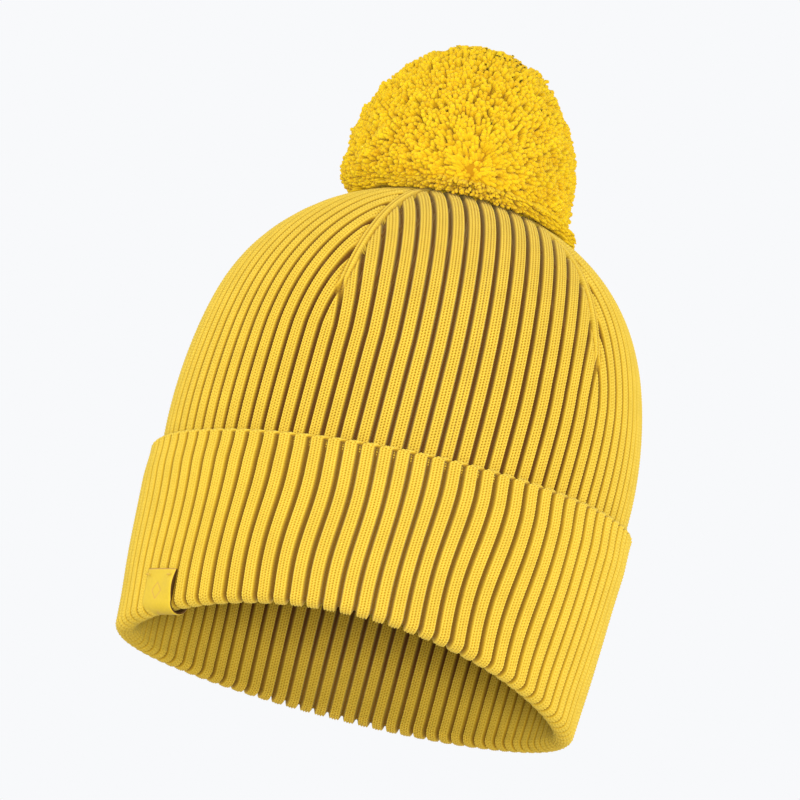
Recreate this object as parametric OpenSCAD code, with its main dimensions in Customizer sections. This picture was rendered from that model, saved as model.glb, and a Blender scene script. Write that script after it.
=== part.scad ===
// Knit beanie: a rib-knit hat with a turn-up cuff, a yarn pompom, a folded tag and a care label.
// Millimetres. +Z runs up the hat's axis, z = 0 is the plane the rim stands on and -Y is the
// wearer's front. An azimuth is counted from -Y towards +X.

/* [Crown] */
// Outer radius of the crown where the side walls end and the dome begins
crown_r = 98; // [90:1:104]
// Height of the crown's top above the rim plane
crown_h = 213; // [195:1:230]
// Height at which the wall stops widening and starts to dome in
dome_z = 100; // [95:1:110]
// Height at which the narrowing sections begin
gore_z = 128; // [120:1:135]
// Number of narrowing sections that close the crown
gore_count = 5; // [5:1:5]
// Azimuth of the first line between two sections
gore_azimuth = 30; // [10:4:50]
// Thickness of the rib fabric, from ridge to ridge
fabric_t = 4; // [3:0.5:4.5]

/* [Rim] */
// Outer radius of the inner layer at the fold
rim_r = 92.4; // [88:0.2:93]
// How far the rim rises over the raised side
rim_rise = 16; // [0:1:16]
// Azimuth of the middle of the raised side
rise_azimuth = 56; // [30:1:70]

/* [Cuff] */
// Mean height of the cuff's free edge
cuff_h = 84; // [70:1:88]
// How far the free edge climbs on one side and drops on the other
cuff_slope = 5.5; // [0:0.5:6]
// Azimuth of the side where the free edge is highest
cuff_high_azimuth = 146; // [120:1:160]
// Outward lean of the cuff over its mean height
cuff_lean = 5.5; // [5:0.5:8]
// Number of hinged strips that make up the outer layer
strip_count = 18; // [18:1:18]
// Gap between neighbouring strips, at a groove of the rib
strip_gap = 1.2; // [1:0.1:1.6]

/* [Pompom] */
// Widest radius of the pompom
pompom_r = 49; // [40:1:55]
// Height of the pompom above its widest level
pompom_rise = 51; // [40:1:56]
// Height of the pompom's widest level above the crown's top
pompom_lift = 18; // [16:1:22]
// Height of the pompom's flat underside above the crown's top
pompom_clearance = 5.5; // [5.5:0.5:8]

/* [Labels] */
// Width of the folded tag, in degrees around the cuff
tag_width = 12; // [8:1:14]
// Height of the tag above the fold
tag_h = 16; // [12:1:20]
// Thickness of the tag
tag_t = 1.2; // [0.8:0.1:1.6]
// Azimuth of the care label
care_azimuth = 90; // [80:2:100]
// Width of the care label, in degrees around the wall
care_width = 19; // [12:1:20]
// Length of the care label below its hinge line
care_length = 37; // [25:1:40]
// Thickness of the care label
care_t = 0.8; // [0.6:0.1:1.2]

/* [Hidden] */
$fn = 96;
dome_steps = 14;
arch_steps = 24;
end_steps = 6;
// Exponents of the dome's outline, which is a superellipse
dome_p = 2.5;
dome_q = 2.2;

layer_gap = 0.6;                      // gap between the inner layer and the turned-up cuff
clearance = 0.3;                      // gap between the fold and the pieces above it
fold_r = fabric_t + layer_gap / 2;    // outer radius of the fold
hem_flat = 1.2;                       // half the width of the fold's flat underside
hinge_rise = sqrt(fold_r * fold_r - hem_flat * hem_flat);   // hinge line above the rim
riser_h = 2.6;                        // the fold's inner side stands this far above the hinge line
wall_top = dome_z - 16;               // the wall leans out evenly up to this height
strip_degrees = 360 / strip_count;
hem_degrees = 5;    // degrees between the fold's sections
hem_steps = 4;      // points on each quarter of a section, less one

hole_r = 4;              // hole in the crown's top that the pompom's thread passes through
pivot_z = crown_h - 2;   // the pompom tilts about this height on the axis
thread_r = 1;
button_r = 9;
button_t = 1.6;
button_z = crown_h - 7.8;   // underside of the anchor button
knot_r = 3.2;
pompom_z = crown_h + pompom_lift;
pompom_floor = crown_h + pompom_clearance;
pocket_r = 7;            // pocket in the pompom's core that holds the tie
skirt_r = 47;
skirt_t = 1.2;

care_header_z = 63.5;    // underside of the stitched header
care_header_h = 4;
care_top_z = 61;
care_r = 88.2;           // inner face of the care label

knit_colour = [0.87, 0.72, 0.24];
pompom_colour = [0.90, 0.72, 0.12];
label_colour = [0.88, 0.76, 0.22];

// Height of the rim at an azimuth: flat all round, except over the raised side.
function rim_z(azimuth) =
    let (c = cos(azimuth - rise_azimuth)) c > 0 ? rim_rise * c * c : 0;

// Height of the cuff's free edge at an azimuth.
function cuff_z(azimuth) = cuff_h + cuff_slope * cos(azimuth - cuff_high_azimuth);

// Height of the hinge line at an azimuth.
function hinge_z(azimuth) = rim_z(azimuth) + hinge_rise;

// Outer radius of the inner layer at a height on its lower, straight part.
function wall_r(z) = rim_r + (crown_r - 0.5 - rim_r) * (z - hinge_rise) / (wall_top - hinge_rise);

// Radius of the hinge line at an azimuth.
function hinge_r(azimuth) = wall_r(hinge_z(azimuth)) + layer_gap / 2;

// Radius of a superellipse dome of base radius r and height h, at a height z above its base.
function dome_r(r, h, z) = r * pow(max(0, 1 - pow(z / h, dome_p)), 1 / dome_q);

// Height of the crown's outer surface at a radius.
function crown_z(r) =
    dome_z + (crown_h - dome_z) * pow(1 - pow(r / crown_r, dome_q), 1 / dome_p);

// Outline points of a dome from a start height up to an end radius, at even turning angles.
function dome_outline(r, h, z_start, r_end) =
    let (
        a0 = asin(pow(z_start / h, dome_p / 2)),
        a1 = acos(pow(r_end / r, dome_q / 2))
    )
    [for (i = [0 : dome_steps])
        let (a = a0 + (a1 - a0) * i / dome_steps, z = h * pow(sin(a), 2 / dome_p))
        [dome_r(r, h, z), dome_z + z]];

function reversed(list) = [for (i = [len(list) - 1 : -1 : 0]) list[i]];

// Turns the local frame so that +X points outward at an azimuth.
module at_azimuth(azimuth) {
    rotate([0, 0, azimuth - 90]) children();
}

// Part of a turned solid, centred on +X and some degrees wide.
module sector(degrees) {
    rotate([0, 0, -degrees / 2]) rotate_extrude(angle = degrees) children();
}

// Inner layer of the hat, from the fold up to where the crown narrows.
module body_tube() {
    bottom = hinge_rise + riser_h + clearance;
    inner_r = crown_r - fabric_t;
    outer_h = crown_h - dome_z;
    inner_h = outer_h - fabric_t;
    outer = dome_outline(crown_r, outer_h, 2, dome_r(crown_r, outer_h, gore_z - dome_z));
    inner = dome_outline(inner_r, inner_h, 2, dome_r(inner_r, inner_h, gore_z - dome_z));
    color(knit_colour)
    difference() {
        rotate_extrude() polygon(concat(
            [[wall_r(bottom), bottom], [crown_r - 0.5, wall_top]], outer,
            reversed(inner),
            [[inner_r - 0.5, wall_top], [wall_r(bottom) - fabric_t, bottom]]
        ));
        rim_arch(bottom);
    }
}

// The space below the raised side of the rim, cut out of the inner layer. Its ends dip a
// little below the inner layer's edge, so that the two cross cleanly.
module rim_arch(bottom) {
    reach = rim_r + 10;
    dip = clearance / 3;
    at_azimuth(rise_azimuth)
        rotate([90, 0, 90])
            linear_extrude(height = reach)
                polygon(concat(
                    [[-wall_r(bottom), bottom - 5], [wall_r(bottom), bottom - 5]],
                    [for (i = [arch_steps : -1 : 0])
                        let (s = 2 * i / arch_steps - 1)
                        [wall_r(bottom) * s, bottom - dip + (rim_rise + dip) * (1 - s * s)]]
                ));
}

// Section of the fold about its hinge line, from the inner layer round to the cuff.
function fold_section() =
    let (flat = asin(hem_flat / fold_r))
    concat(
        [[-layer_gap / 2, 0], [-layer_gap / 2, riser_h], [-fold_r, riser_h]],
        [for (i = [0 : hem_steps]) let (t = 180 + (90 - flat) * i / hem_steps) fold_r * [cos(t), sin(t)]],
        [for (i = [0 : hem_steps]) let (t = 270 + flat + (90 - flat) * i / hem_steps) fold_r * [cos(t), sin(t)]]
    );

// The fold that joins the inner layer to the cuff, following the rim.
module cuff_hem() {
    section = fold_section();
    sides = len(section);
    rings = 360 / hem_degrees;
    points = [for (j = [0 : rings - 1], p = section)
        let (a = j * hem_degrees + rise_azimuth)
        [(hinge_r(a) + p.x) * sin(a), -(hinge_r(a) + p.x) * cos(a), hinge_z(a) + p.y]];
    faces = [for (j = [0 : rings - 1], i = [0 : sides - 1])
        let (
            a = j * sides + i, b = j * sides + (i + 1) % sides,
            c = (j + 1) % rings * sides + i, d = (j + 1) % rings * sides + (i + 1) % sides
        )
        each [[a, b, d], [a, d, c]]];
    color(knit_colour) polyhedron(points, faces);
}

// One narrowing section of the crown, between two decrease lines.
module crown_gore(index) {
    outer_h = crown_h - dome_z;
    outer = dome_outline(crown_r, outer_h, gore_z - dome_z, hole_r);
    inner = dome_outline(crown_r - fabric_t, outer_h - fabric_t, gore_z - dome_z, hole_r);
    width = 360 / gore_count;
    color(knit_colour)
    at_azimuth(gore_azimuth + width * (index - 0.5))
        sector(width)
            polygon(concat(outer, reversed(inner)));
}

// Outline of a bar from a square foot to a round head. The foot is beside the point a.
function strip_outline(a, b) =
    let (lean = atan2(b.x - a.x, b.y - a.y), side = [cos(lean), -sin(lean)] * fabric_t / 2)
    concat(
        [a - side, a + side],
        [for (i = [0 : end_steps])
            let (t = 180 * i / end_steps - lean) b + fabric_t / 2 * [cos(t), sin(t)]]
    );

// One strip of the cuff's outer layer, five ribs wide, with parallel sides.
module cuff_strip(index) {
    azimuth = strip_degrees * (index - 1);
    fold_top = max([for (i = [-2 : 2]) hinge_z(azimuth + i * strip_degrees / 4)]);
    foot = [hinge_r(azimuth) + fold_r - fabric_t / 2, fold_top + 2 * clearance];
    head = [rim_r + layer_gap / 2 + fold_r - fabric_t / 2 + cuff_lean, cuff_z(azimuth) - fabric_t / 2];
    foot_w = (foot.x - fabric_t / 2) * sin(strip_degrees / 2) - strip_gap / 2;
    head_w = (head.x - fabric_t / 2) * sin(strip_degrees / 2) - strip_gap / 2;
    color(knit_colour)
    at_azimuth(azimuth)
    intersection() {
        sector(strip_degrees + 4) polygon(strip_outline(foot, head));
        rotate([90, 0, 90])
            linear_extrude(height = 2 * crown_r)
                polygon([
                    [-foot_w, foot.y - fabric_t], [foot_w, foot.y - fabric_t],
                    [head_w, head.y + fabric_t], [-head_w, head.y + fabric_t]
                ]);
    }
}

// Linked seam up the inside of the tube, above the care label.
module side_seam() {
    seam_w = 4;
    seam_t = 1.4;
    gap = 0.15;
    low = care_header_z + care_header_h + 2;
    high = gore_z - 8;
    top_r = dome_r(crown_r - fabric_t, crown_h - dome_z - fabric_t, high - dome_z);
    path = [
        [wall_r(low) - fabric_t, low], [crown_r - fabric_t - 0.5, wall_top],
        [crown_r - fabric_t - 0.05, dome_z + 2], [top_r, high]
    ];
    color(knit_colour)
    at_azimuth(care_azimuth)
        sector(seam_w / crown_r * 57.3)
            polygon(concat(
                [for (p = path) p - [gap, 0]],
                [for (p = reversed(path)) p - [gap + seam_t, 0]]
            ));
}

// Thread that draws the tips of the sections together under the crown's top.
module closing_thread() {
    color(knit_colour)
    rotate_extrude() translate([hole_r + 1.4, crown_h - fabric_t - 0.9]) circle(0.7, $fn = 24);
}

// Flat button inside the crown that the pompom's thread pulls against.
module anchor_button() {
    color("gainsboro")
    translate([0, 0, button_z])
    difference() {
        cylinder(h = button_t, r = button_r);
        translate([0, 0, -1]) cylinder(h = button_t + 2, r = thread_r + 1.6);
    }
}

// Thread through the crown's top, with a knot under the button and an eye above the crown.
module pompom_thread() {
    eye_r = 1.6;
    knot_z = button_z - knot_r - 0.6;
    color(pompom_colour) {
        translate([0, 0, knot_z]) sphere(knot_r);
        translate([0, 0, knot_z]) cylinder(h = pivot_z + 1 - knot_z, r = thread_r);
        translate([0, 0, pivot_z + 1]) sphere(eye_r, $fn = 48);
    }
}

// Yarn wound tightly round the pompom's strands, with the neck that the thread holds.
module pompom_tie() {
    neck_z = pivot_z + 3.2;
    tie_z = pompom_floor + 8;
    color(pompom_colour) {
        translate([0, 0, neck_z]) cylinder(h = tie_z - neck_z + 3, r = 1.2);
        for (turn = [0 : 2])
            translate([0, 0, tie_z + 1.6 * turn])
                rotate_extrude() translate([2.2, 0]) circle(1.3, $fn = 24);
    }
}

// Lowest strands of the pompom, pressed flat on the crown.
module pompom_skirt() {
    lower = [for (i = [0 : 8]) let (r = 8 + (skirt_r - 8) * i / 8) [r, crown_z(r) + 0.2]];
    color(pompom_colour)
    rotate_extrude() polygon(concat(lower, [for (p = reversed(lower)) p + [0, skirt_t]]));
}

// The pompom's ball of cut yarn, flat below so that it can tilt over the crown.
module pompom_ball() {
    low_angle = asin((pompom_floor - pompom_z) / pompom_rise);
    outline = [for (i = [0 : 18])
        let (a = low_angle + (90 - low_angle) * i / 18)
        [max(0, pompom_r * cos(a)), pompom_z + pompom_rise * sin(a)]];
    color(pompom_colour)
    rotate_extrude() polygon(concat(
        outline,
        [[0, pompom_floor + 18], [pocket_r, pompom_floor + 15], [pocket_r, pompom_floor]]
    ));
}

// Point just outside the front strip's outer face, at a height above its hinge line.
function front_face(rise) =
    [hinge_r(0) + fold_r + clearance / 2 + cuff_lean * rise / (cuff_z(0) - hinge_z(0)), hinge_z(0) + rise];

// Outer leaf of the folded tag, on the strip at the wearer's front.
module tag_front_leaf() {
    low = front_face(riser_h);
    high = front_face(tag_h - hinge_rise);
    color(label_colour)
    at_azimuth(0)
        sector(tag_width)
            polygon([low, low + [tag_t, 0], high + [tag_t, 0], high]);
}

// Inner leaf of the folded tag, on the inside of the inner layer.
module tag_back_leaf() {
    low = hinge_z(tag_width / 2) + riser_h;
    face_r = wall_r(low) - fabric_t - clearance;
    color(label_colour)
    at_azimuth(0)
        translate([0, 0, low])
            sector(tag_width)
                translate([face_r - tag_t, 0]) square([tag_t, tag_h - hinge_rise - riser_h]);
}

// Two short stitches through the tag's upper corners.
module tag_stitches() {
    face = front_face(tag_h - hinge_rise - 2);
    color("darkgoldenrod")
    for (side = [-1, 1])
        at_azimuth(side * (tag_width / 2 - 1.5))
            translate([face.x + tag_t + 0.4, 0, face.y])
                rotate([90, 0, 0])
                    translate([0, 0, -1.2]) cylinder(h = 2.4, r = 0.35, $fn = 24);
}

// Folded strip that sews the care label to the seam.
module care_label_header() {
    color("whitesmoke")
    at_azimuth(care_azimuth)
        translate([0, 0, care_header_z])
            sector(care_width)
                translate([care_r, 0]) square([3.6, care_header_h]);
}

// Stitches across the care label's header.
module care_label_stitches() {
    stitches = 6;
    color("silver")
    for (i = [0 : stitches - 1])
        at_azimuth(care_azimuth + care_width * ((i + 0.5) / stitches - 0.5))
            translate([care_r - 0.36, 0, care_header_z + care_header_h / 2])
                rotate([90, 0, 0])
                    translate([0, 0, -1.4]) cylinder(h = 2.8, r = 0.3, $fn = 24);
}

// Care label that hangs free along the inside wall.
module care_label() {
    color("whitesmoke")
    at_azimuth(care_azimuth)
        translate([0, 0, care_top_z - care_length])
            sector(care_width)
                translate([care_r, 0]) square([care_t, care_length]);
}

body_tube();
cuff_hem();
crown_gore(1);  // crown_gore_1
crown_gore(2);  // crown_gore_2
crown_gore(3);  // crown_gore_3
crown_gore(4);  // crown_gore_4
crown_gore(5);  // crown_gore_5
cuff_strip(1);  // cuff_strip_01
cuff_strip(2);  // cuff_strip_02
cuff_strip(3);  // cuff_strip_03
cuff_strip(4);  // cuff_strip_04
cuff_strip(5);  // cuff_strip_05
cuff_strip(6);  // cuff_strip_06
cuff_strip(7);  // cuff_strip_07
cuff_strip(8);  // cuff_strip_08
cuff_strip(9);  // cuff_strip_09
cuff_strip(10);  // cuff_strip_10
cuff_strip(11);  // cuff_strip_11
cuff_strip(12);  // cuff_strip_12
cuff_strip(13);  // cuff_strip_13
cuff_strip(14);  // cuff_strip_14
cuff_strip(15);  // cuff_strip_15
cuff_strip(16);  // cuff_strip_16
cuff_strip(17);  // cuff_strip_17
cuff_strip(18);  // cuff_strip_18
side_seam();
closing_thread();
anchor_button();
pompom_thread();
pompom_tie();
pompom_skirt();
pompom_ball();
tag_front_leaf();
tag_back_leaf();
tag_stitches();
care_label_header();
care_label_stitches();
care_label();
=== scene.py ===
import math

import bpy
import numpy as np
from mathutils import Matrix, Vector


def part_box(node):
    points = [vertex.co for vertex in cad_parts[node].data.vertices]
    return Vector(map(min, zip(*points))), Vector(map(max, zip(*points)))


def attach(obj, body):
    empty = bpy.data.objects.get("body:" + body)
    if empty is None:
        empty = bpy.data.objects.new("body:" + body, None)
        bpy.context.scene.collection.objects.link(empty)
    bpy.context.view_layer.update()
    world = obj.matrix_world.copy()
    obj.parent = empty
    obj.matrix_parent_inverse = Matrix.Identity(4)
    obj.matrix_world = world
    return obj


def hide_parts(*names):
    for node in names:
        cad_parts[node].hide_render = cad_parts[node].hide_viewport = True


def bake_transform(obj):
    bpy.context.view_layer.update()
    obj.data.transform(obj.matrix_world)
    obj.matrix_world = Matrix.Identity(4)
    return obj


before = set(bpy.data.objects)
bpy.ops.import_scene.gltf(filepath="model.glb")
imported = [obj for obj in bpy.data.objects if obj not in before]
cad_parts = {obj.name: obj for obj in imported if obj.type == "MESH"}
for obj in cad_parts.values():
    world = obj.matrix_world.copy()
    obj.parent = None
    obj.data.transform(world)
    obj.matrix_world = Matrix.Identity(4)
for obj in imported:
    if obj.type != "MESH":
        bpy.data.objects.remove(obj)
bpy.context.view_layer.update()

# ---------------------------------------------------------------- sizes, in millimetres
MM = 0.001               # one millimetre in Blender's metres
RIM_R = 92.4             # outer face of the inner layer at the fold
CROWN_R = 98.0           # widest outer radius of the crown
CROWN_H = 213.0          # top of the crown
DOME_Z = 100.0           # the walls dome in above this height
GORE_Z = 128.0           # the narrowing sections start here
FABRIC = 4.0             # rib fabric, ridge to ridge
DOME_P, DOME_Q = 2.5, 2.2       # powers of the dome's superellipse, up and across
RIM_RISE, RISE_AZIMUTH = 16.0, 56.0     # the rim rises by this, and most at this azimuth
CUFF_H, CUFF_LEAN = 84.0, 5.5           # height of the cuff's free edge, and how far it leans out
CUFF_SLOPE, CUFF_HIGH = 5.5, 146.0      # the edge is higher by this at this azimuth
FOLD_R = 4.3             # outer radius of the fold
HINGE_RISE = 4.129       # hinge line above the rim
FOLD_SQUASH = HINGE_RISE / FOLD_R       # the fold is slightly flat underneath
LAYER_GAP = 0.6          # between the inner layer and the cuff
STRIPS = 18              # hinged strips of the cuff
WALL_TOP = 84.0          # top of the inner layer's straight wall
WALL_INSET = 0.5         # the wall's top stands this far inside the crown's widest radius

RIBS = 90                # ribs round the hat
PITCH = 6.744            # rib spacing on the crown
STITCH = 1.3             # height of one stitch
ROW = STITCH / 3         # height of one row of mesh faces, fine enough to show each stitch
GROOVE = 2.7             # depth of a groove between ribs
CUFF_SHADE_SCALE = 0.8          # strength of the painted groove shade on the cuff and rim: their grooves are stretched open, so less shade is painted in them
LINE_AZIMUTH = 30.0      # first decrease line; the others follow every fifth of a turn
SECTION = 72.0           # angle of one crown section

POM_R, POM_RISE, POM_DROP = 50.0, 60.0, 16.0    # widest radius, height above it, depth below it
CORE = np.array([-3.1, -4.6, 222.0])            # the strands spread from here; the pompom leans a little
POM_SKIN = 6.8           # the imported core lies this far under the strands' tips
STRANDS, STRAND_GROUPS, STRAND_LENGTH, STRAND_R = 10500, 4, 14.0, 0.95
SKIRT_STRANDS, SKIRT_STRAND_R = 2300, 0.8       # lowest strands, which lie on the crown

TAG_HALF_ANGLE = 6.0     # half of the tag's width, as an angle
TAG_T, TAG_LIFT = 1.0, 0.75             # thickness, and gap to the fold's ribs
TAG_FRONT_TOP, TAG_BACK_H = 16.6, 10.2  # height of the front leaf's top edge, and of the inner leaf
TAG_TILT, TAG_BULGE = 0.8, 1.1          # the front leaf leans out and bulges along one edge


# ---------------------------------------------------------------- helpers
def smooth(a, b, x):
    """0 at a, 1 at b, with a soft step between them. a may be the larger."""
    t = np.clip((x - a) / (b - a), 0, 1)
    return t * t * (3 - 2 * t)


def rim_z(az):
    c = np.cos(np.radians(az - RISE_AZIMUTH))
    return np.where(c > 0, RIM_RISE * c * c, 0.0)


def hinge_z(az):
    return rim_z(az) + HINGE_RISE


def cuff_z(az):
    return CUFF_H + CUFF_SLOPE * np.cos(np.radians(az - CUFF_HIGH))


def wall_r(z):
    """Outer radius of the inner layer on its lower, straight part."""
    return RIM_R + (CROWN_R - WALL_INSET - RIM_R) * (z - HINGE_RISE) / (WALL_TOP - HINGE_RISE)


def hinge_r(az):
    return wall_r(hinge_z(az)) + LAYER_GAP / 2


def outward(az):
    a = math.radians(az)
    return Vector((math.sin(a), -math.cos(a), 0))


def crown_z(r):
    return DOME_Z + (CROWN_H - DOME_Z) * (1 - (np.minimum(r, CROWN_R) / CROWN_R) ** DOME_Q) ** (1 / DOME_P)


def dome_line(radius, height, steps=900):
    """Wall and dome outline as points (r, z) from z = 0 to the top, at even arc lengths."""
    a = np.linspace(0, math.pi / 2, steps)
    dome = np.stack([radius * np.cos(a) ** (2 / DOME_Q), DOME_Z + height * np.sin(a) ** (2 / DOME_P)], 1)
    foot = [radius - CROWN_R + wall_r(0), 0.0]
    shoulder = [radius - 0.15, (WALL_TOP + DOME_Z) / 2]
    wall = np.array([foot, [radius - WALL_INSET, WALL_TOP], shoulder])
    pts = np.vstack([wall, dome])
    s = np.concatenate([[0], np.cumsum(np.hypot(*np.diff(pts, axis=0).T))])
    even = np.linspace(0, s[-1], steps)
    r = np.interp(even, s, pts[:, 0])
    z = np.interp(even, s, pts[:, 1])
    kernel = np.ones(9) / 9
    for _ in range(2):
        r[4:-4] = np.convolve(r, kernel, "valid")
        z[4:-4] = np.convolve(z, kernel, "valid")
    return even, r, z


class Outline:
    """A turned outline that can be read by arc length or by height."""

    def __init__(self, radius, height, facing):
        self.s, self.r, self.z = dome_line(radius, height)
        dr, dz = np.gradient(self.r, self.s), np.gradient(self.z, self.s)
        n = np.hypot(dr, dz)
        self.nr, self.nz = facing * dz / n, -facing * dr / n

    def arc(self, z):
        return np.interp(z, self.z, self.s)

    def at(self, s):
        return (np.interp(s, self.s, v) for v in (self.r, self.z, self.nr, self.nz))


OUTER = Outline(CROWN_R, CROWN_H - DOME_Z, 1)
INNER = Outline(CROWN_R - FABRIC, CROWN_H - DOME_Z - FABRIC, -1)


def to_xyz(az, r, z):
    az, r, z = np.broadcast_arrays(az, r, z)
    a = np.radians(az)
    return np.stack([r * np.sin(a), -r * np.cos(a), z], -1)


def relax(p):
    """Soft unevenness that a knitted shell has, the same for every piece."""
    x, y, z = p[..., 0], p[..., 1], p[..., 2]
    a = np.arctan2(x, -y)
    fade = smooth(0, 30, z) * smooth(CROWN_H, 180, z)
    broad = 0.45 * np.sin(3 * a + 0.021 * z + 0.6) + 0.35 * np.sin(5 * a - 0.045 * z)
    push = broad + 0.25 * np.sin(0.09 * z + 2 * a)
    r = np.maximum(np.hypot(x, y), 1e-6)
    out = p.copy()
    out[..., 0] += push * fade * x / r
    out[..., 1] += push * fade * y / r
    return out


def stitches(q, v):
    """Height against the ridge, and painted shade, of rib knit.

    q is whole at each rib's middle, and v counts stitches along the rib.
    """
    a = np.abs(q - np.floor(q + 0.5))
    wall = smooth(0.455, 0.35, a)
    w = np.clip((a - 0.18) / 0.18, -1, 1.25)
    leg = np.cos(math.pi * np.minimum(np.abs(np.abs(w) - 0.52) / 0.6, 1)) * 0.5 + 0.5
    phase = 2 * math.pi * (v - 0.42 * np.abs(w))
    ridge = 0.5 + 0.5 * np.cos(phase)
    hole = np.exp(-(w / 0.26) ** 2) * (0.5 - 0.5 * np.cos(2 * math.pi * v + 0.4))
    middle = np.exp(-(a / 0.04) ** 2)
    gap = middle * (0.55 + 0.45 * np.cos(2 * math.pi * v))
    edge = smooth(0.30, 0.36, a) * (0.5 + 0.5 * np.cos(2 * math.pi * v + 2.6))
    relief = 0.34 * leg + 0.36 * ridge * leg - 0.36 * hole - 0.50 * gap - 0.24 * edge
    relief -= 0.45 * (a / 0.36) ** 3
    purl = 0.30 * np.cos(2 * math.pi * v) * (1 - wall)
    height = -GROOVE * (1 - wall) + wall * (relief - 0.45) + purl
    # painted shade in the stitch holes, in the gap between a rib's two wales, at the rib edges and between
    # stitch rows; flank adds painted shade on the rib flanks and in the grooves
    shadow = 0.75 * hole + 0.85 * gap + 0.35 * edge + 0.30 * (1 - ridge) - 0.08
    flank = smooth(0.28, 0.43, a)
    dark = np.clip(flank + (1 - flank) * shadow, 0, 1)
    return height, dark


def make_mesh(name, verts, quads, attributes, material):
    """A smooth mesh of quads from points in millimetres, with a number at each point per attribute."""
    mesh = bpy.data.meshes.new(name)
    mesh.vertices.add(len(verts))
    mesh.vertices.foreach_set("co", (verts * MM).astype(np.float32).ravel())
    mesh.loops.add(quads.size)
    mesh.loops.foreach_set("vertex_index", quads.astype(np.int32).ravel())
    mesh.polygons.add(len(quads))
    mesh.polygons.foreach_set("loop_start", np.arange(0, quads.size, 4, dtype=np.int32))
    mesh.polygons.foreach_set("use_smooth", np.ones(len(quads), bool))
    for key, values in attributes.items():
        layer = mesh.attributes.new(key, "FLOAT", "POINT")
        layer.data.foreach_set("value", values.astype(np.float32).ravel())
    mesh.update(calc_edges=True)
    mesh.validate()
    mesh.materials.append(material)
    obj = bpy.data.objects.new(name, mesh)
    bpy.context.collection.objects.link(obj)
    return obj


def grid(name, points, dark, material, flip=False):
    """A sheet through rows of points. flip turns its faces the other way."""
    rows, cols = points.shape[:2]
    i = np.arange(rows - 1)[:, None] * cols + np.arange(cols - 1)[None, :]
    quads = np.stack([i, i + 1, i + cols + 1, i + cols], -1).reshape(-1, 4)
    if flip:
        quads = quads[:, ::-1]
    return make_mesh(name, relax(points).reshape(-1, 3), quads, {"depth": dark}, material)


# ---------------------------------------------------------------- materials
def new_material(name):
    mat = bpy.data.materials.new(name)
    mat.use_nodes = True
    tree = mat.node_tree
    return mat, tree, tree.nodes["Principled BSDF"]


def add(tree, kind, **inputs):
    node = tree.nodes.new(kind)
    for key, value in inputs.items():
        if hasattr(node, key) and key not in node.inputs:
            setattr(node, key, value)
        else:
            node.inputs[key.replace("_", " ")].default_value = value
    return node


def noise(tree, scale, detail):
    place = add(tree, "ShaderNodeTexCoord")
    tex = add(tree, "ShaderNodeTexNoise", Scale=scale, Detail=detail)
    tree.links.new(place.outputs["Object"], tex.inputs["Vector"])
    return tex.outputs["Fac"]


def ramp(tree, factor, stops):
    node = tree.nodes.new("ShaderNodeValToRGB")
    while len(node.color_ramp.elements) < len(stops):
        node.color_ramp.elements.new(0.5)
    for element, (place, colour) in zip(node.color_ramp.elements, stops):
        element.position = place
        element.color = (*colour, 1)
    tree.links.new(factor, node.inputs["Fac"])
    return node.outputs["Color"]


def mix(tree, kind, factor, a, b):
    node = tree.nodes.new("ShaderNodeMix")
    node.data_type, node.blend_type = "RGBA", kind
    for socket, value in ((node.inputs["Factor"], factor), (node.inputs[6], a), (node.inputs[7], b)):
        if isinstance(value, bpy.types.NodeSocket):
            tree.links.new(value, socket)
        else:
            socket.default_value = value
    return node.outputs[2]


def bump(tree, shader, height, strength, distance):
    node = add(tree, "ShaderNodeBump", Strength=strength, Distance=distance)
    tree.links.new(height, node.inputs["Height"])
    tree.links.new(node.outputs["Normal"], shader.inputs["Normal"])


def srgb(r, g, b):
    return tuple(((c / 255 + 0.055) / 1.055) ** 2.4 if c > 10 else c / 255 / 12.92 for c in (r, g, b))


def yarn_material(name, crest, mid, deep, fuzz=0.35):
    """Fuzzy yarn, whose colour goes from crest to a painted deep shade with the mesh's own depth value,
    which holds painted shade.
    """
    mat, tree, shader = new_material(name)
    depth = add(tree, "ShaderNodeAttribute", attribute_name="depth").outputs["Fac"]
    body = ramp(tree, depth, [(0.0, crest), (0.35, mid), (0.9, deep)])
    patchy = ramp(tree, noise(tree, 90, 4), [(0.3, (0.90, 0.89, 0.84)), (0.7, (1.0, 1.0, 1.0))])
    fibres = ramp(tree, noise(tree, 2600, 3), [(0.3, (0.84, 0.82, 0.78)), (0.7, (1.0, 1.0, 1.0))])
    tone = mix(tree, "MULTIPLY", 0.8, body, patchy)
    tone = mix(tree, "MULTIPLY", 0.9, tone, fibres)
    tree.links.new(tone, shader.inputs["Base Color"])
    shader.inputs["Roughness"].default_value = 0.92
    shader.inputs["Specular IOR Level"].default_value = 0.18
    shader.inputs["Sheen Weight"].default_value = fuzz
    shader.inputs["Sheen Roughness"].default_value = 0.55
    shader.inputs["Sheen Tint"].default_value = (*srgb(255, 232, 150), 1)
    bump(tree, shader, noise(tree, 3400, 4), 0.5, 0.0003)
    return mat


# crest is the yarn's colour; mid and deep are painted shade colours of grooves, holes and the pompom's
# inside
KNIT = yarn_material("rib_knit_yarn", srgb(230, 200, 72), srgb(204, 164, 38), srgb(104, 62, 4))
POM = yarn_material("pompom_yarn", srgb(230, 196, 18), srgb(218, 172, 6), srgb(168, 106, 0), fuzz=0.2)


def label_material(name, colour, dark, weave):
    """Ribbon, thread or plastic with a fine grain. weave is the grain's fineness."""
    mat, tree, shader = new_material(name)
    grain = noise(tree, weave, 5)
    tone = ramp(tree, grain, [(0.25, dark), (0.75, colour)])
    tree.links.new(tone, shader.inputs["Base Color"])
    shader.inputs["Roughness"].default_value = 0.62
    shader.inputs["Specular IOR Level"].default_value = 0.35
    bump(tree, shader, grain, 0.25, 0.00015)
    return mat


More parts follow.
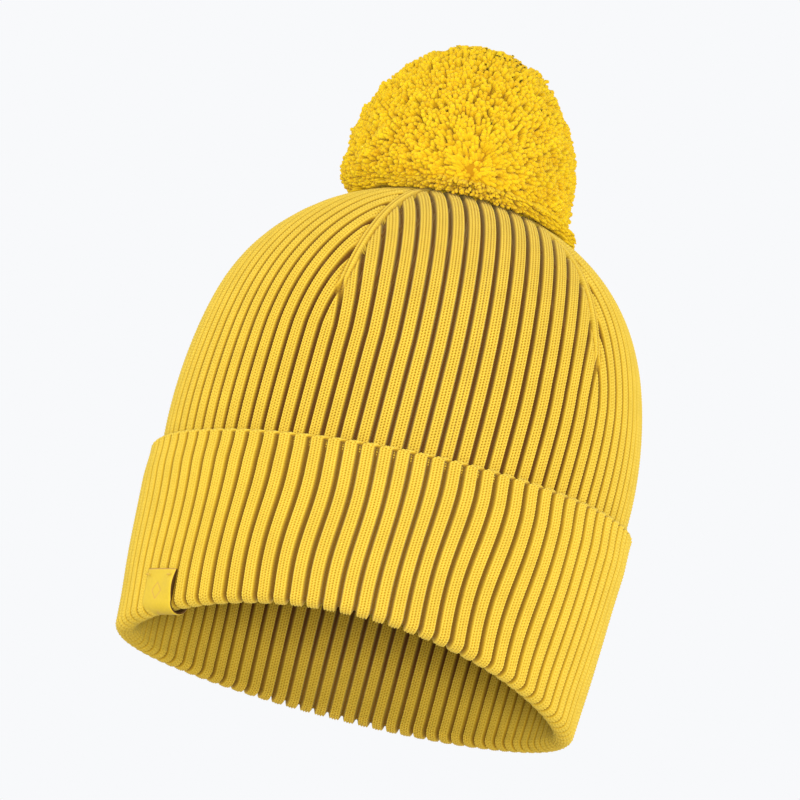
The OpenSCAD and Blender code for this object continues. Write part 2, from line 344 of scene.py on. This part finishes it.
def tag_material():
    """Smooth coated face, a pressed mark in the middle tone and a raw brown edge, whose brown is also
    painted shadow along the front leaf's top edge.
    """
    mat, tree, shader = new_material("tag_smooth")
    depth = add(tree, "ShaderNodeAttribute", attribute_name="depth").outputs["Fac"]
    face, mark, edge = srgb(210, 178, 36), srgb(200, 152, 70), srgb(84, 56, 18)
    body = ramp(tree, depth, [(0.0, face), (0.5, mark), (1.0, edge)])
    grain = ramp(tree, noise(tree, 700, 4), [(0.3, (0.93, 0.92, 0.9)), (0.7, (1, 1, 1))])
    tree.links.new(mix(tree, "MULTIPLY", 1.0, body, grain), shader.inputs["Base Color"])
    shader.inputs["Roughness"].default_value = 0.6
    shader.inputs["Specular IOR Level"].default_value = 0.35
    bump(tree, shader, noise(tree, 1500, 4), 0.2, 0.0002)
    return mat


TAG = tag_material()
RIBBON = label_material("care_ribbon", srgb(236, 236, 232), srgb(216, 216, 210), 1400)
THREAD = label_material("sewing_thread", srgb(214, 180, 62), srgb(186, 146, 44), 2600)
GREY_THREAD = label_material("care_thread", srgb(182, 182, 178), srgb(150, 150, 146), 2600)
BUTTON = label_material("button_plastic", srgb(222, 220, 210), srgb(204, 200, 188), 260)


# ---------------------------------------------------------------- knitted crown
def section_of(az):
    """Angle from the middle of the crown section that holds an azimuth."""
    return (az - LINE_AZIMUTH) % SECTION - SECTION / 2


def crown_ribs(az, r, v):
    """Rib field of the narrowing sections: parallel ribs that end at raised decrease lines."""
    delta = section_of(az)
    side = np.abs(delta)
    d = np.radians(SECTION / 2 - side) * r
    narrow = np.minimum(1, r * math.radians(360 / RIBS) / PITCH)
    started = smooth(1.0, 0.93, narrow)
    bend = 2.2 * np.exp(-d / 7) * started
    q = np.sign(delta) * (side * RIBS / 360 * narrow - bend / PITCH)
    h, dark = stitches(q, v)
    w = np.clip(d / 1.55, 0, 1.4)
    spine = 1 - smooth(0.92, 1.3, w)
    braid = 0.5 + 0.5 * np.cos(2 * math.pi * (v - 0.45 * w))
    rope_h = 0.42 * braid - 0.45 * np.exp(-(w / 0.22) ** 2) - 0.5 * w ** 3 - 0.1
    rope = rope_h * spine - 2 * GROOVE * (1 - spine)
    end = smooth(4.6, 2.0, d) * started
    ribs = h - 0.9 * end * end
    height = (1 - started) * h + started * np.maximum(ribs, rope)
    # painted shade between the rope's braids and in its middle dip, and a painted shade line in the crease
    # where the ribs end against the rope
    rope_dark = 0.3 * (1 - braid) + 0.5 * np.exp(-(w / 0.22) ** 2)
    crease_shade = 0.6 * np.exp(-((d - 2.0) / 0.5) ** 2)
    tone = np.where(rope > ribs, rope_dark, np.maximum(dark, crease_shade))
    return height, np.clip((1 - started) * dark + started * tone, 0, 1)


def crown_wall(name, az0, az1, cols):
    """Outer face of the inner layer, with larger faces on the part that the cuff covers."""
    az = np.linspace(az0, az1, cols + 1)[None, :]
    covered, height = 68, GORE_Z - HINGE_RISE
    part = covered / height
    behind = np.linspace(0, part, int(covered / STITCH * 2), endpoint=False)
    above = np.linspace(part, 1, int((height - covered) / ROW) + 1)
    t = np.concatenate([behind, above])[:, None]
    s0, s1 = OUTER.arc(hinge_z(az) - 1.6), OUTER.arc(GORE_Z)
    r, z, nr, nz = OUTER.at(s0 + (s1 - s0) * t)
    v = (s1 / STITCH) + (t - 1) * round(float(s1 - OUTER.arc(6)) / STITCH) + 0 * az
    h, dark = stitches(az * RIBS / 360 - 0.5 + 0 * t, v)
    return grid(name, to_xyz(az + 0 * t, r + nr * h, z + nz * h), dark, KNIT)


def crown_gore(name, az0, az1, cols, s0, s1, step):
    """Outer face of the narrowing crown between two arc lengths."""
    az = np.linspace(az0, az1, cols + 1)[None, :]
    rows = int((s1 - s0) / step)
    s = np.linspace(s0, s1, rows + 1)[:, None]
    r, z, nr, nz = OUTER.at(s)
    h, dark = crown_ribs(az + 0 * s, r + 0 * az, s / STITCH + 0 * az)
    h = h * smooth(3, 12, r)
    return grid(name, to_xyz(az + 0 * s, r + nr * h, z + nz * h), dark, KNIT)


def lining(name, az0, az1, cols, z_low, z_high, step):
    """Inner face of the hat, which is the other face of the fabric. z_low None starts it at the fold."""
    az = np.linspace(az0, az1, cols + 1)[None, :]
    low = INNER.arc(hinge_z(az)) if z_low is None else INNER.arc(z_low) + 0 * az
    high = INNER.arc(z_high)
    rows = int((high - low.min()) / step)
    t = np.linspace(0, 1, rows + 1)[:, None]
    s = low + (high - low) * t
    r, z, nr, nz = INNER.at(s)
    h, dark = stitches(az * RIBS / 360 + 0 * t, -s / STITCH)
    h = h * smooth(4, 60, r)
    # painted shade in the grooves, weaker near the rim, as painted light where light enters the hat
    dark = dark * (CUFF_SHADE_SCALE + (1 - CUFF_SHADE_SCALE) * smooth(8, 50, z))
    return grid(name, to_xyz(az + 0 * t, r + nr * h, z + nz * h), dark, KNIT, flip=True)


def make_crown():
    """Ten sectors of knit, two to each crown section, so that none crosses a decrease line."""
    sectors, first = 10, LINE_AZIMUTH
    width = 360 / sectors
    rim = OUTER.arc(GORE_Z)
    coarse_r, hole_r = 52.0, 4.2     # larger faces under the pompom, and a hole for its thread
    mid = float(np.interp(-coarse_r, -OUTER.r, OUTER.s))
    top = float(np.interp(-hole_r, -OUTER.r, OUTER.s))
    lining_top, roof_z = CROWN_H - FABRIC - 0.6, 72
    for i in range(sectors):
        a0, a1 = first + width * i, first + width * (i + 1)
        wall = crown_wall(f"knit_wall_{i + 1:02d}", a0, a1, 216)
        low = crown_gore(f"knit_crown_{i + 1:02d}", a0, a1, 216, rim, mid, ROW)
        high = crown_gore(f"knit_top_{i + 1:02d}", a0, a1, 108, mid, top, STITCH / 2)
        deep = lining(f"knit_lining_{i + 1:02d}", a0, a1, 180, None, roof_z, ROW)
        roof = lining(f"knit_lining_top_{i + 1:02d}", a0, a1, 108, roof_z, lining_top, STITCH * 2)
        for piece in (wall, low, high, deep, roof):
            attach(piece, "hat")
        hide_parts("body_tube")
        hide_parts(f"crown_gore_{i // 2 + 1}")


# ---------------------------------------------------------------- turn-up cuff
def lean(az, t):
    """How far the cuff's ribs drift round the hat, in degrees, at a share t of its height."""
    wander = 0.3 * np.sin(math.pi * t) * np.sin(np.radians(az * 7) + 4 * t)
    return wander - 0.45 * np.sin(2 * math.pi * t)


def strip_azimuths(index):
    """Middle of a strip, and its azimuths from one side to the other."""
    width = 360 / STRIPS
    mid = width * (index - 1)
    return mid, np.linspace(mid - width / 2, mid + width / 2, 121)[None, :]


def cuff_strip(index):
    """Five ribs of the cuff: outer face, rounded free edge and inner face."""
    stitch_rows, per = 60, 3
    az = strip_azimuths(index)[1]
    q = az * RIBS / 360
    foot = hinge_r(az) + FOLD_R - FABRIC / 2
    head = RIM_R + LAYER_GAP / 2 + FOLD_R - FABRIC / 2 + CUFF_LEAN
    half, edge_r = FABRIC / 2, FABRIC / 2 - 0.6
    hz, cz = hinge_z(az), cuff_z(az) - edge_r

    t = np.linspace(0, 1, stitch_rows * per + 1)[:, None]
    h, dark_out = stitches(q + 0 * t, t * stitch_rows + 0 * az)
    r = foot + half + (head - foot) * t + h - 2 * (half - edge_r) * smooth(0.8, 1, t)
    outer = to_xyz(az + lean(az, t), r, hz + (cz - hz) * t)

    turn = np.radians(np.arange(12, 180, 12))[:, None]
    share = smooth(math.radians(-10), math.radians(150), turn)
    h, dark_edge = stitches(q - 0.5 * share, stitch_rows + turn * edge_r / STITCH + 0 * az)
    reach = edge_r + h * (1 - 0.6 * share)
    centre = head - half + edge_r
    edge = to_xyz(az + lean(az, 1 + 0 * turn), centre + reach * np.cos(turn), cz + reach * np.sin(turn))

    t_in = np.linspace(1, 0, stitch_rows * 2 + 1)[:, None]
    h, dark_in = stitches(q - 0.5 + 0 * t_in, t_in * stitch_rows + 0 * az)
    h = h * (1 - 0.6 * smooth(0.78, 0.94, t_in))
    r_in = foot - half + (head - foot) * t_in - h
    inner = to_xyz(az + lean(az, t_in), r_in, hz - 0.3 + (cz - hz + 0.3) * t_in)

    points = np.vstack([outer, edge, inner])
    # painted shade of the grooves and stitch holes, scaled down on the cuff
    dark = CUFF_SHADE_SCALE * np.vstack([dark_out, dark_edge, dark_in])
    piece = grid(f"knit_cuff_{index:02d}", points, dark, KNIT)
    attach(piece, f"cuff_strip_{index:02d}")
    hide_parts(f"cuff_strip_{index:02d}")


def cuff_fold(index):
    """The knit that turns under the rim, from the inner face round to the cuff."""
    mid, az = strip_azimuths(index)
    rows = 10
    t = np.linspace(0, 1, rows * 4 + 1)[:, None]
    turn = math.pi * (1 + t)
    h, dark = stitches(az * RIBS / 360 + 0 * t, (t - 1) * rows + 0 * az)
    reach = FOLD_R + h
    r = hinge_r(az) + reach * np.cos(turn)
    z = hinge_z(az) + reach * np.sin(turn) * FOLD_SQUASH
    # painted shade of the grooves and stitch holes, scaled down on the fold
    piece = grid(f"knit_fold_{index:02d}", to_xyz(az + 0 * t, r, z), CUFF_SHADE_SCALE * dark, KNIT)
    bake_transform(piece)
    return piece


def make_cuff():
    for index in range(1, STRIPS + 1):
        cuff_strip(index)
        fold = cuff_fold(index)
        if index == 1:
            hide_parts("cuff_hem")


# ---------------------------------------------------------------- pompom
def tube_mesh(name, paths, radii, dark, sides, material):
    """Tubes along many paths at once.

    paths is (strands, points, 3), and radii and dark are (strands, points).
    """
    strands, count = paths.shape[:2]
    tangent = np.gradient(paths, axis=1)
    tangent /= np.linalg.norm(tangent, axis=2, keepdims=True) + 1e-9
    steep = np.abs(tangent[..., 2:3]) >= 0.9
    helper = np.where(steep, np.array([1.0, 0, 0]), np.array([0, 0, 1.0]))
    side = np.cross(tangent, helper)
    side /= np.linalg.norm(side, axis=2, keepdims=True) + 1e-9
    other = np.cross(tangent, side)
    a = np.linspace(0, 2 * math.pi, sides, endpoint=False)
    ring = side[:, :, None] * np.cos(a)[:, None] + other[:, :, None] * np.sin(a)[:, None]
    verts = paths[:, :, None] + ring * radii[:, :, None, None]
    base = np.arange(strands)[:, None, None] * count * sides
    row = np.arange(count - 1)[None, :, None] * sides
    col = np.arange(sides)[None, None, :]
    nxt = (col + 1) % sides
    near, far = base + row, base + row + sides
    quads = np.stack([near + col, near + nxt, far + nxt, far + col], -1)
    shade = np.repeat(dark[:, :, None], sides, 2)
    return make_mesh(name, verts.reshape(-1, 3), quads.reshape(-1, 4), {"depth": shade}, material)


def pom_surface(direction):
    """Distance from the core to the pompom's outside along unit directions."""
    d = direction
    low, high = np.zeros(len(d)), np.full(len(d), 80.0)
    for _ in range(22):
        m = (low + high) / 2
        p = CORE + d * m[:, None]
        rr = np.hypot(p[:, 0] - CORE[0], p[:, 1] - CORE[1]) / POM_R
        above = p[:, 2] - CORE[2]
        zz = np.where(above > 0, above / POM_RISE, -above / POM_DROP)
        power = np.where(above > 0, 2, 4)
        inside = rr ** power + zz ** power < 1
        low, high = np.where(inside, m, low), np.where(inside, high, m)
    return low


def sphere_directions(count, lowest):
    """Evenly spread unit directions from straight up down to a height of lowest."""
    k = np.arange(count) + 0.5
    z = 1 - (1 - lowest) * k / count
    a = k * math.pi * (3 - math.sqrt(5))
    flat = np.sqrt(1 - z * z)
    return np.stack([flat * np.cos(a), flat * np.sin(a), z], 1)


def strands(count, seed, lowest, length, parting):
    """Paths, radii and painted shade of the cut strands, which lean away from the parting."""
    gen = np.random.default_rng(seed)
    d = sphere_directions(count, lowest)
    d += gen.normal(0, 0.026, d.shape)
    d /= np.linalg.norm(d, axis=1, keepdims=True)
    clump = np.sin(d[:, 0] * 17 + 2) * np.sin(d[:, 1] * 15 + 1) * np.sin(d[:, 2] * 19)
    from_parting = np.linalg.norm(d - parting, axis=1)
    reach = pom_surface(d) * (1 + gen.normal(0, 0.009, count)) - 0.9 + 1.2 * clump
    reach -= 3.5 * np.exp(-(from_parting / 0.17) ** 2)
    near = np.exp(-(from_parting / 0.55) ** 2)
    away = d - parting
    away /= from_parting[:, None] + 1e-6
    away -= d * np.sum(away * d, axis=1, keepdims=True)
    sideways = np.cross(d, gen.normal(0, 1, d.shape))
    sideways /= np.linalg.norm(sideways, axis=1, keepdims=True)
    rise = np.array([0, 0.25, 0.5, 0.72, 0.9, 0.98, 1.0])
    taper = np.array([0.9, 0.95, 1.0, 1.08, 1.12, 0.8, 0.1])
    t = rise[None, :, None]
    start = reach[:, None, None] - length * (0.75 + 0.5 * gen.random(count)[:, None, None])
    path = CORE + d[:, None] * (start + (reach[:, None, None] - start) * t)
    path += away[:, None] * (near * 11.0)[:, None, None] * (t - 0.85)
    path -= d[:, None] * (near * 3.0)[:, None, None] * t ** 2
    curl = gen.normal(0, 1, (count, 1, 1))
    path += sideways[:, None] * curl * (0.8 * t ** 2 + 0.4 * np.sin(t * 9 + curl))
    path[..., 2] -= 1.2 * t[..., 0] ** 2 * (1 - d[:, 2:3] ** 2)
    radii = STRAND_R * taper * (0.8 + 0.4 * gen.random((count, 1)))
    # painted shade: darker towards each strand's root deep in the pompom and lighter on strands that reach
    # further out, with random tone
    shade = (1 - rise) ** 1.5 * 0.9 + 0.26 * gen.random((count, 1)) - 0.12 * clump[:, None]
    return path, radii, np.clip(shade, 0, 1)


def make_pompom():
    parting = np.array(outward(62)) + np.array([0, 0, -0.14])
    parting /= np.linalg.norm(parting)
    path, radii, shade = strands(STRANDS, 5, -0.42, STRAND_LENGTH, parting)
    which = np.arange(STRANDS) % STRAND_GROUPS
    for g in range(STRAND_GROUPS):
        keep = which == g
        piece = tube_mesh(f"pompom_strands_{g + 1}", path[keep], radii[keep], shade[keep], 5, POM)
        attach(piece, "pompom")
        if g == 0:
            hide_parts("pompom_ball")
    core = pom_core()
    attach(core, "pompom")
    skirt = pom_skirt()
    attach(skirt, "hat")
    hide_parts("pompom_skirt")


def pom_core():
    """The tightly packed middle of the pompom, seen only between strands."""
    az = np.linspace(0, 2 * math.pi, 97)
    el = np.linspace(math.pi / 2, -0.30, 50)
    flat, up = np.cos(el)[:, None], np.sin(el)[:, None]
    d = np.stack([flat * np.cos(az), flat * np.sin(az), up + 0 * az], -1)
    r = pom_surface(d.reshape(-1, 3)).reshape(d.shape[:2]) - POM_SKIN
    bumps = 0.8 * np.sin(az * 17)[None] * np.sin(el * 23)[:, None]
    points = CORE + d * (r + bumps)[..., None]
    rows, cols = points.shape[:2]
    i = np.arange(rows - 1)[:, None] * cols + np.arange(cols - 1)[None, :]
    quads = np.stack([i, i + cols, i + cols + 1, i + 1], -1).reshape(-1, 4)
    # painted shade: the core is coloured darker, as it lies in shade between the strands
    depth = np.full(rows * cols, 0.7)
    return make_mesh("pompom_core", points.reshape(-1, 3), quads, {"depth": depth}, POM)


def pom_skirt():
    """Lowest strands, which lie on the crown and curl up at their tips."""
    gen = np.random.default_rng(9)
    count = SKIRT_STRANDS
    rise = np.array([0, 0.2, 0.4, 0.6, 0.8, 0.93, 0.98, 1.0])
    taper = np.array([0.8, 0.85, 0.9, 0.95, 1.0, 1.05, 0.8, 0.1])
    az = gen.random(count) * 2 * math.pi
    layer = gen.random(count)
    end = 40 + 9.5 * gen.random(count) ** 0.6
    t = rise[None, :]
    r = 10 + (end[:, None] - 10) * t
    lift = 0.8 + 5.8 * layer[:, None] * smooth(8, 46, r) + 0.5 * gen.random((count, 1))
    z = crown_z(r) + lift
    swing = gen.normal(0, 0.03, (count, 1)) * t + gen.normal(0, 0.006, (count, len(rise)))
    a = az[:, None] + swing
    path = np.stack([r * np.sin(a), -r * np.cos(a), z], -1)
    radii = SKIRT_STRAND_R * taper * np.ones((count, 1))
    # painted shade: darker towards the roots under the pompom and on the lower layers, with random tone
    shade = (1 - t) ** 1.4 * 0.9 + 0.12 * gen.random((count, 1)) + 0.1 * (1 - layer[:, None])
    return tube_mesh("pompom_skirt_strands", path, radii, np.clip(shade, 0, 1), 5, POM)


# ---------------------------------------------------------------- tag and labels
def tag_sheet(name, path, bulge=0.0):
    """A strip of tag material along points (r, z) of its outer face, as a closed thin shell."""
    r, z = path[:, 0][:, None], path[:, 1][:, None]
    u = np.linspace(-1, 1, 61)[None, :]
    dr, dz = np.gradient(path[:, 0]), np.gradient(path[:, 1])
    n = np.hypot(dr, dz)
    nr, nz = (dz / n)[:, None], (-dr / n)[:, None]
    s = np.concatenate([[0], np.cumsum(np.hypot(np.diff(path[:, 0]), np.diff(path[:, 1])))])[:, None]
    az = u * TAG_HALF_ANGLE
    x_mm = np.radians(az) * 97
    side = np.minimum((1 - np.abs(u)) * TAG_HALF_ANGLE * 1.69, 3)
    round_off = -0.3 * (1 - smooth(0, 0.7, side))
    mark = np.abs(np.abs(x_mm + 0.5) + np.abs(s - s[-1] + 9)) - 3.3
    line = np.exp(-(mark / 0.42) ** 2)
    curl = bulge * np.sin(math.pi * s / s[-1]) * smooth(0.1, 1, u)
    lift = round_off - 0.16 * line + curl
    front = to_xyz(az + 0 * r, r + nr * lift, z + nz * lift)
    rim = to_xyz(az + 0 * r, r + nr * (lift - 0.12), z + nz * (lift - 0.12))
    back = to_xyz(az + 0 * r, r - nr * TAG_T, z - nz * TAG_T)
    points = np.concatenate([front, rim[:, -1:], back[:, ::-1], rim[:, :1], front[:, :1]], 1)
    # the pressed mark's tone, and on the front leaf a painted shadow line along its top edge
    dark = 0.4 * line + 0.9 * smooth(0.5, 0.1, s[-1] - s) * (bulge > 0) + 0 * x_mm
    raw = np.ones((len(path), 1))
    shade = np.concatenate([dark, raw, np.ones_like(dark), raw, dark[:, :1]], 1)
    return grid(name, points, np.clip(shade, 0, 1), TAG)


def make_tag():
    """Front leaf, the bend round the fold and the inner leaf of the folded tag."""
    fold, hinge = float(hinge_z(0.0)), float(hinge_r(0.0))
    t = np.linspace(0, 1, 40)
    wrap_r = FOLD_R + TAG_LIFT
    front = np.stack([hinge + wrap_r + TAG_TILT * t, fold + (TAG_FRONT_TOP - HINGE_RISE) * t], 1)
    leaf = tag_sheet("tag_leaf", front, TAG_BULGE)
    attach(leaf, "cuff_strip_01")
    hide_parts("tag_front_leaf")
    turn = math.pi * (1 + np.linspace(0, 1, 25))
    wrap = np.stack([hinge + wrap_r * np.cos(turn), fold + wrap_r * np.sin(turn) * FOLD_SQUASH], 1)
    bend = tag_sheet("tag_bend", wrap)
    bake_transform(bend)
    back = np.stack([np.full(30, hinge - wrap_r), fold + np.linspace(TAG_BACK_H, 0, 30)], 1)
    inside = tag_sheet("tag_inner_leaf", back)
    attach(inside, "hat")
    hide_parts("tag_back_leaf")


def make_care_label():
    """A single layer of ribbon in the place of the CAD label, with a slight wave."""
    low, high = (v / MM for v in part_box("care_label"))
    az = np.linspace(80.5, 99.5, 61)[None, :]
    t = np.linspace(0, 1, 60)[:, None]
    z = high.z + (low.z - high.z) * t
    wave = 0.25 * np.sin(math.pi * t * 1.6) * np.cos(np.radians((az - 90) * 9))
    points = to_xyz(az + 0 * t, 88.5 + wave * t, z)
    piece = grid("care_ribbon", points, np.zeros(points.shape[:2]), RIBBON)
    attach(piece, "care_label")
    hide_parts("care_label")


def dress_small_parts():
    """Materials of the CAD pieces that stay in view."""
    dress = {
        "side_seam": KNIT, "closing_thread": POM, "pompom_thread": POM, "pompom_tie": POM,
        "anchor_button": BUTTON, "tag_stitches": THREAD,
        "care_label_header": RIBBON, "care_label_stitches": GREY_THREAD,
    }
    for node, material in dress.items():
        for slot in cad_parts[node].material_slots:
            slot.material = material


# ---------------------------------------------------------------- stage, light and camera
def make_stage():
    """Pale floor, half clear so that some light from below reaches the inside, and clear from below."""
    mesh = bpy.data.meshes.new("floor")
    reach, half_clear = 3.0, 0.45
    corners = [(x * reach, y * reach, 0) for x, y in ((-1, -1), (1, -1), (1, 1), (-1, 1))]
    mesh.from_pydata(corners, [], [(0, 1, 2, 3)])
    floor = bpy.data.objects.new("floor", mesh)
    bpy.context.collection.objects.link(floor)
    floor.location.z = -0.0004
    floor.visible_shadow = False
    mat, tree, shader = new_material("pale_floor")
    shader.inputs["Base Color"].default_value = (0.86, 0.87, 0.88, 1)
    shader.inputs["Roughness"].default_value = 0.9
    clear = tree.nodes.new("ShaderNodeBsdfTransparent")
    facing = tree.nodes.new("ShaderNodeNewGeometry")
    choose = tree.nodes.new("ShaderNodeMixShader")
    clearness = add(tree, "ShaderNodeMath", operation="MAXIMUM")
    clearness.inputs[1].default_value = half_clear
    tree.links.new(facing.outputs["Backfacing"], clearness.inputs[0])
    tree.links.new(clearness.outputs[0], choose.inputs[0])
    tree.links.new(shader.outputs[0], choose.inputs[1])
    tree.links.new(clear.outputs[0], choose.inputs[2])
    tree.links.new(choose.outputs[0], tree.nodes["Material Output"].inputs["Surface"])
    mesh.materials.append(mat)


def area_light(name, azimuth, elevation, distance, size, power):
    """A round lamp that faces the middle of the hat. Power is in watts."""
    data = bpy.data.lights.new(name, "AREA")
    data.shape, data.size, data.energy = "DISK", size, power
    lamp = bpy.data.objects.new(name, data)
    a, e = math.radians(azimuth), math.radians(elevation)
    away = Vector((math.sin(a) * math.cos(e), -math.cos(a) * math.cos(e), math.sin(e)))
    lamp.location = HAT_MIDDLE + away * distance
    lamp.rotation_mode = "QUATERNION"
    lamp.rotation_quaternion = away.to_track_quat("Z", "Y")
    lamp.visible_camera = False
    bpy.context.collection.objects.link(lamp)


def make_lights():
    """Even pale surroundings with a lamp at each side, one from low in front and one behind."""
    world = bpy.data.worlds.new("studio")
    world.use_nodes = True
    back = world.node_tree.nodes["Background"]
    back.inputs["Color"].default_value = (*srgb(248, 249, 251), 1)
    back.inputs["Strength"].default_value = 1.0
    bpy.context.scene.world = world
    area_light("key", VIEW_AZIMUTH - 60, 18, 1.5, 0.55, 5.5)
    area_light("side", VIEW_AZIMUTH + 64, 12, 1.6, 0.9, 5.5)
    area_light("low", VIEW_AZIMUTH + 2, -11, 1.6, 0.3, 16.5)
    area_light("back", VIEW_AZIMUTH + 180, 32, 1.8, 1.1, 9)
    bpy.context.scene.view_settings.view_transform = "Standard"


VIEW_AZIMUTH, VIEW_ELEVATION, VIEW_ROLL = 56.0, -12.48, 14.38
VIEW_DISTANCE, FOCAL = 1.6135, 173.7
AIM = Vector((0, 0, 0.1152))
AIM_RIGHT, AIM_UP = -0.0065, 0.0092     # the camera stands this far beside its aim, which frames the hat
HAT_MIDDLE = Vector((0, 0, 0.13))


def make_camera():
    """Camera low in front of the hat, rolled, looking slightly up at it."""
    cam = bpy.data.objects.new("camera", bpy.data.cameras.new("camera"))
    cam.data.lens, cam.data.sensor_width = FOCAL, 36
    a, e = math.radians(VIEW_AZIMUTH), math.radians(VIEW_ELEVATION)
    back = Vector((math.sin(a) * math.cos(e), -math.cos(a) * math.cos(e), math.sin(e)))
    turn = back.to_track_quat("Z", "Y").to_matrix()
    right, up = turn @ Vector((1, 0, 0)), turn @ Vector((0, 1, 0))
    cam.location = AIM + back * VIEW_DISTANCE + right * AIM_RIGHT + up * AIM_UP
    turn = turn @ Matrix.Rotation(math.radians(VIEW_ROLL), 3, "Z")
    cam.rotation_mode = "QUATERNION"
    cam.rotation_quaternion = turn.to_quaternion()
    bpy.context.collection.objects.link(cam)
    bpy.context.scene.camera = cam


make_camera()
make_stage()
make_lights()
make_crown()
make_cuff()
make_pompom()
make_tag()
make_care_label()
dress_small_parts()
